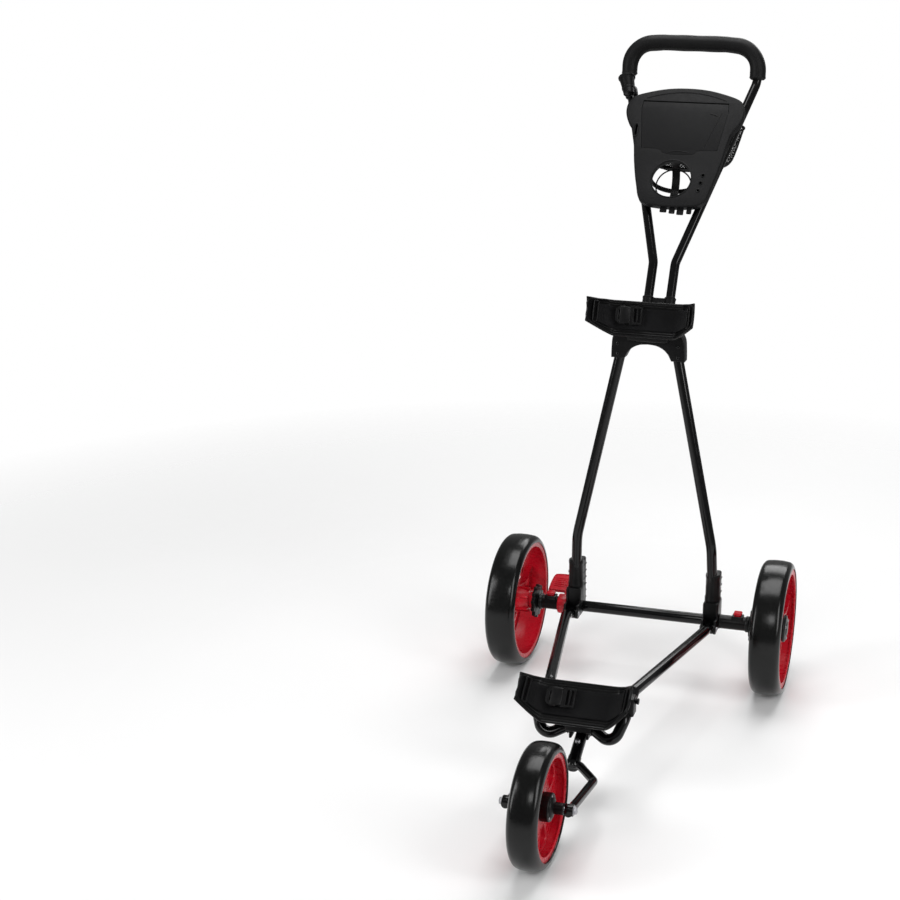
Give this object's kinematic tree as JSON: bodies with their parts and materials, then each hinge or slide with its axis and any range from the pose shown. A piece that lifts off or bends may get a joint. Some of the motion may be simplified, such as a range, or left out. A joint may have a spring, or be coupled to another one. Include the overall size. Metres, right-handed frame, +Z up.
{
  "type": "golf push trolley",
  "caption": "Folding three-wheel golf push trolley with red rims, black tube frame, padded U grip, console with cup hole and lid, net bag and strapped bag saddles.",
  "frame": {"origin": "on the ground under the middle of the unfolded trolley's bounding box", "axes": "+Z up, +X towards the trolley's right wheel as seen from the front, -Y the way the trolley is pushed, front wheel foremost"},
  "size_m": [0.641, 1.3031, 1.3587],
  "materials": {
    "black_steel": "gloss black powder coat on steel tube",
    "black_plastic": "moulded black plastic, fine grain",
    "console_plastic": "matte charcoal plastic, fine spark texture",
    "red_plastic": "glossy red moulded plastic",
    "tyre_foam": "smooth black foam tyre, satin sheen",
    "grip_foam": "black soft foam, fine pores",
    "webbing": "black woven nylon webbing",
    "net": "black knitted mesh with bound rim",
    "screw_steel": "zinc-plated steel"
  },
  "bodies": {
    "frame": {"rear_cross_tube": "black_steel", "hinge_block_left": "black_plastic", "hinge_block_right": "black_plastic", "fold_pin_left": "screw_steel", "fold_pin_right": "screw_steel", "hinge_screw_left": "screw_steel", "hinge_screw_right": "screw_steel", "main_tube_left": "black_steel", "main_tube_right": "black_steel", "axle_sleeve_left": "black_plastic", "axle_sleeve_right": "black_plastic", "upper_yoke": "black_plastic", "handle_pin": "screw_steel", "upper_saddle": "black_plastic", "upper_strap": "webbing", "upper_buckle": "black_plastic"},
    "release_tab_left": {"release_tab_left": "red_plastic"},
    "release_tab_right": {"release_tab_right": "red_plastic"},
    "brake_pedal": {"brake_pedal": "red_plastic"},
    "lower_frame": {"lower_tube_left": "black_steel", "lower_tube_right": "black_steel", "fork_head": "black_plastic", "fork_pin": "screw_steel", "lower_saddle": "black_plastic", "lower_strap": "webbing", "lower_buckle": "black_plastic", "saddle_stud_left": "black_plastic", "saddle_stud_right": "black_plastic"},
    "fork": {"fork_stem": "black_steel", "fork_arms": "black_steel", "front_axle_bolt": "screw_steel"},
    "fork_lock": {"fork_lock_button": "screw_steel"},
    "front_wheel": {"front_tyre": "tyre_foam", "front_rim": "red_plastic", "front_hub": "black_plastic"},
    "rear_wheel_left": {"rear_tyre_left": "tyre_foam", "rear_rim_left": "red_plastic", "hub_cap_left": "black_plastic", "brake_disc_left": "black_plastic", "wheel_pin_left": "screw_steel"},
    "rear_wheel_right": {"rear_tyre_right": "tyre_foam", "rear_rim_right": "red_plastic", "hub_cap_right": "black_plastic", "brake_disc_right": "black_plastic", "wheel_pin_right": "screw_steel"},
    "lock_knob": {"lock_knob": "red_plastic", "knob_cap": "black_plastic"},
    "handle": {"handle_tube": "black_steel", "handle_base": "black_plastic", "foam_grip": "grip_foam", "console_front": "console_plastic", "console_tray": "console_plastic", "cup_basket": "black_plastic", "net_bag": "net", "umbrella_clamp": "black_plastic", "umbrella_socket": "black_plastic"},
    "console_lid": {"console_lid": "console_plastic"}
  },
  "joints": [
    {"name": "lower_frame_fold", "type": "hinge", "parent": "frame", "child": "lower_frame", "pos_m": [0, 0.2135, 0.142], "axis": [-1, 0, 0], "range_deg": [0, 82]},
    {"name": "front_fork_fold", "type": "hinge", "parent": "lower_frame", "child": "fork", "pos_m": [0, -0.2385, 0.112], "axis": [1, 0, 0], "range_deg": [0, 175]},
    {"name": "handle_fold", "type": "hinge", "parent": "frame", "child": "handle", "pos_m": [0, 0.3085, 0.79], "axis": [-1, 0, 0], "range_deg": [0, 132]},
    {"name": "lock_knob_turn", "type": "hinge", "parent": "frame", "child": "lock_knob", "pos_m": [-0.059, 0.3085, 0.79], "axis": [-1, 0, 0], "range_deg": [0, 360]},
    {"name": "front_wheel_spin", "type": "hinge", "parent": "fork", "child": "front_wheel", "pos_m": [0, -0.5415, 0.11], "axis": [1, 0, 0], "continuous": true},
    {"name": "rear_wheel_left_spin", "type": "hinge", "parent": "frame", "child": "rear_wheel_left", "pos_m": [-0.2875, 0.2535, 0.145], "axis": [1, 0, 0], "continuous": true},
    {"name": "rear_wheel_right_spin", "type": "hinge", "parent": "frame", "child": "rear_wheel_right", "pos_m": [0.2875, 0.2535, 0.145], "axis": [1, 0, 0], "continuous": true},
    {"name": "brake_pedal_press", "type": "hinge", "parent": "frame", "child": "brake_pedal", "pos_m": [-0.1812, 0.2535, 0.145], "axis": [-1, 0, 0], "range_deg": [0, 20]},
    {"name": "release_tab_left_press", "type": "slide", "parent": "frame", "child": "release_tab_left", "axis": [0, 0, -1], "range_m": [0, 0.0022], "stiffness_N_per_m": 800, "springref_m": -0.002},
    {"name": "release_tab_right_press", "type": "slide", "parent": "frame", "child": "release_tab_right", "axis": [0, 0, -1], "range_m": [0, 0.0022], "stiffness_N_per_m": 800, "springref_m": -0.002},
    {"name": "fork_lock_button_press", "type": "slide", "parent": "fork", "child": "fork_lock", "axis": [0, 0.4472, -0.8944], "range_m": [0, 0.002], "stiffness_N_per_m": 800, "springref_m": -0.002},
    {"name": "console_lid_open", "type": "hinge", "parent": "handle", "child": "console_lid", "pos_m": [0, 0.55304, 1.21836], "axis": [-1, 0, 0], "range_deg": [0, 100]}
  ]
}
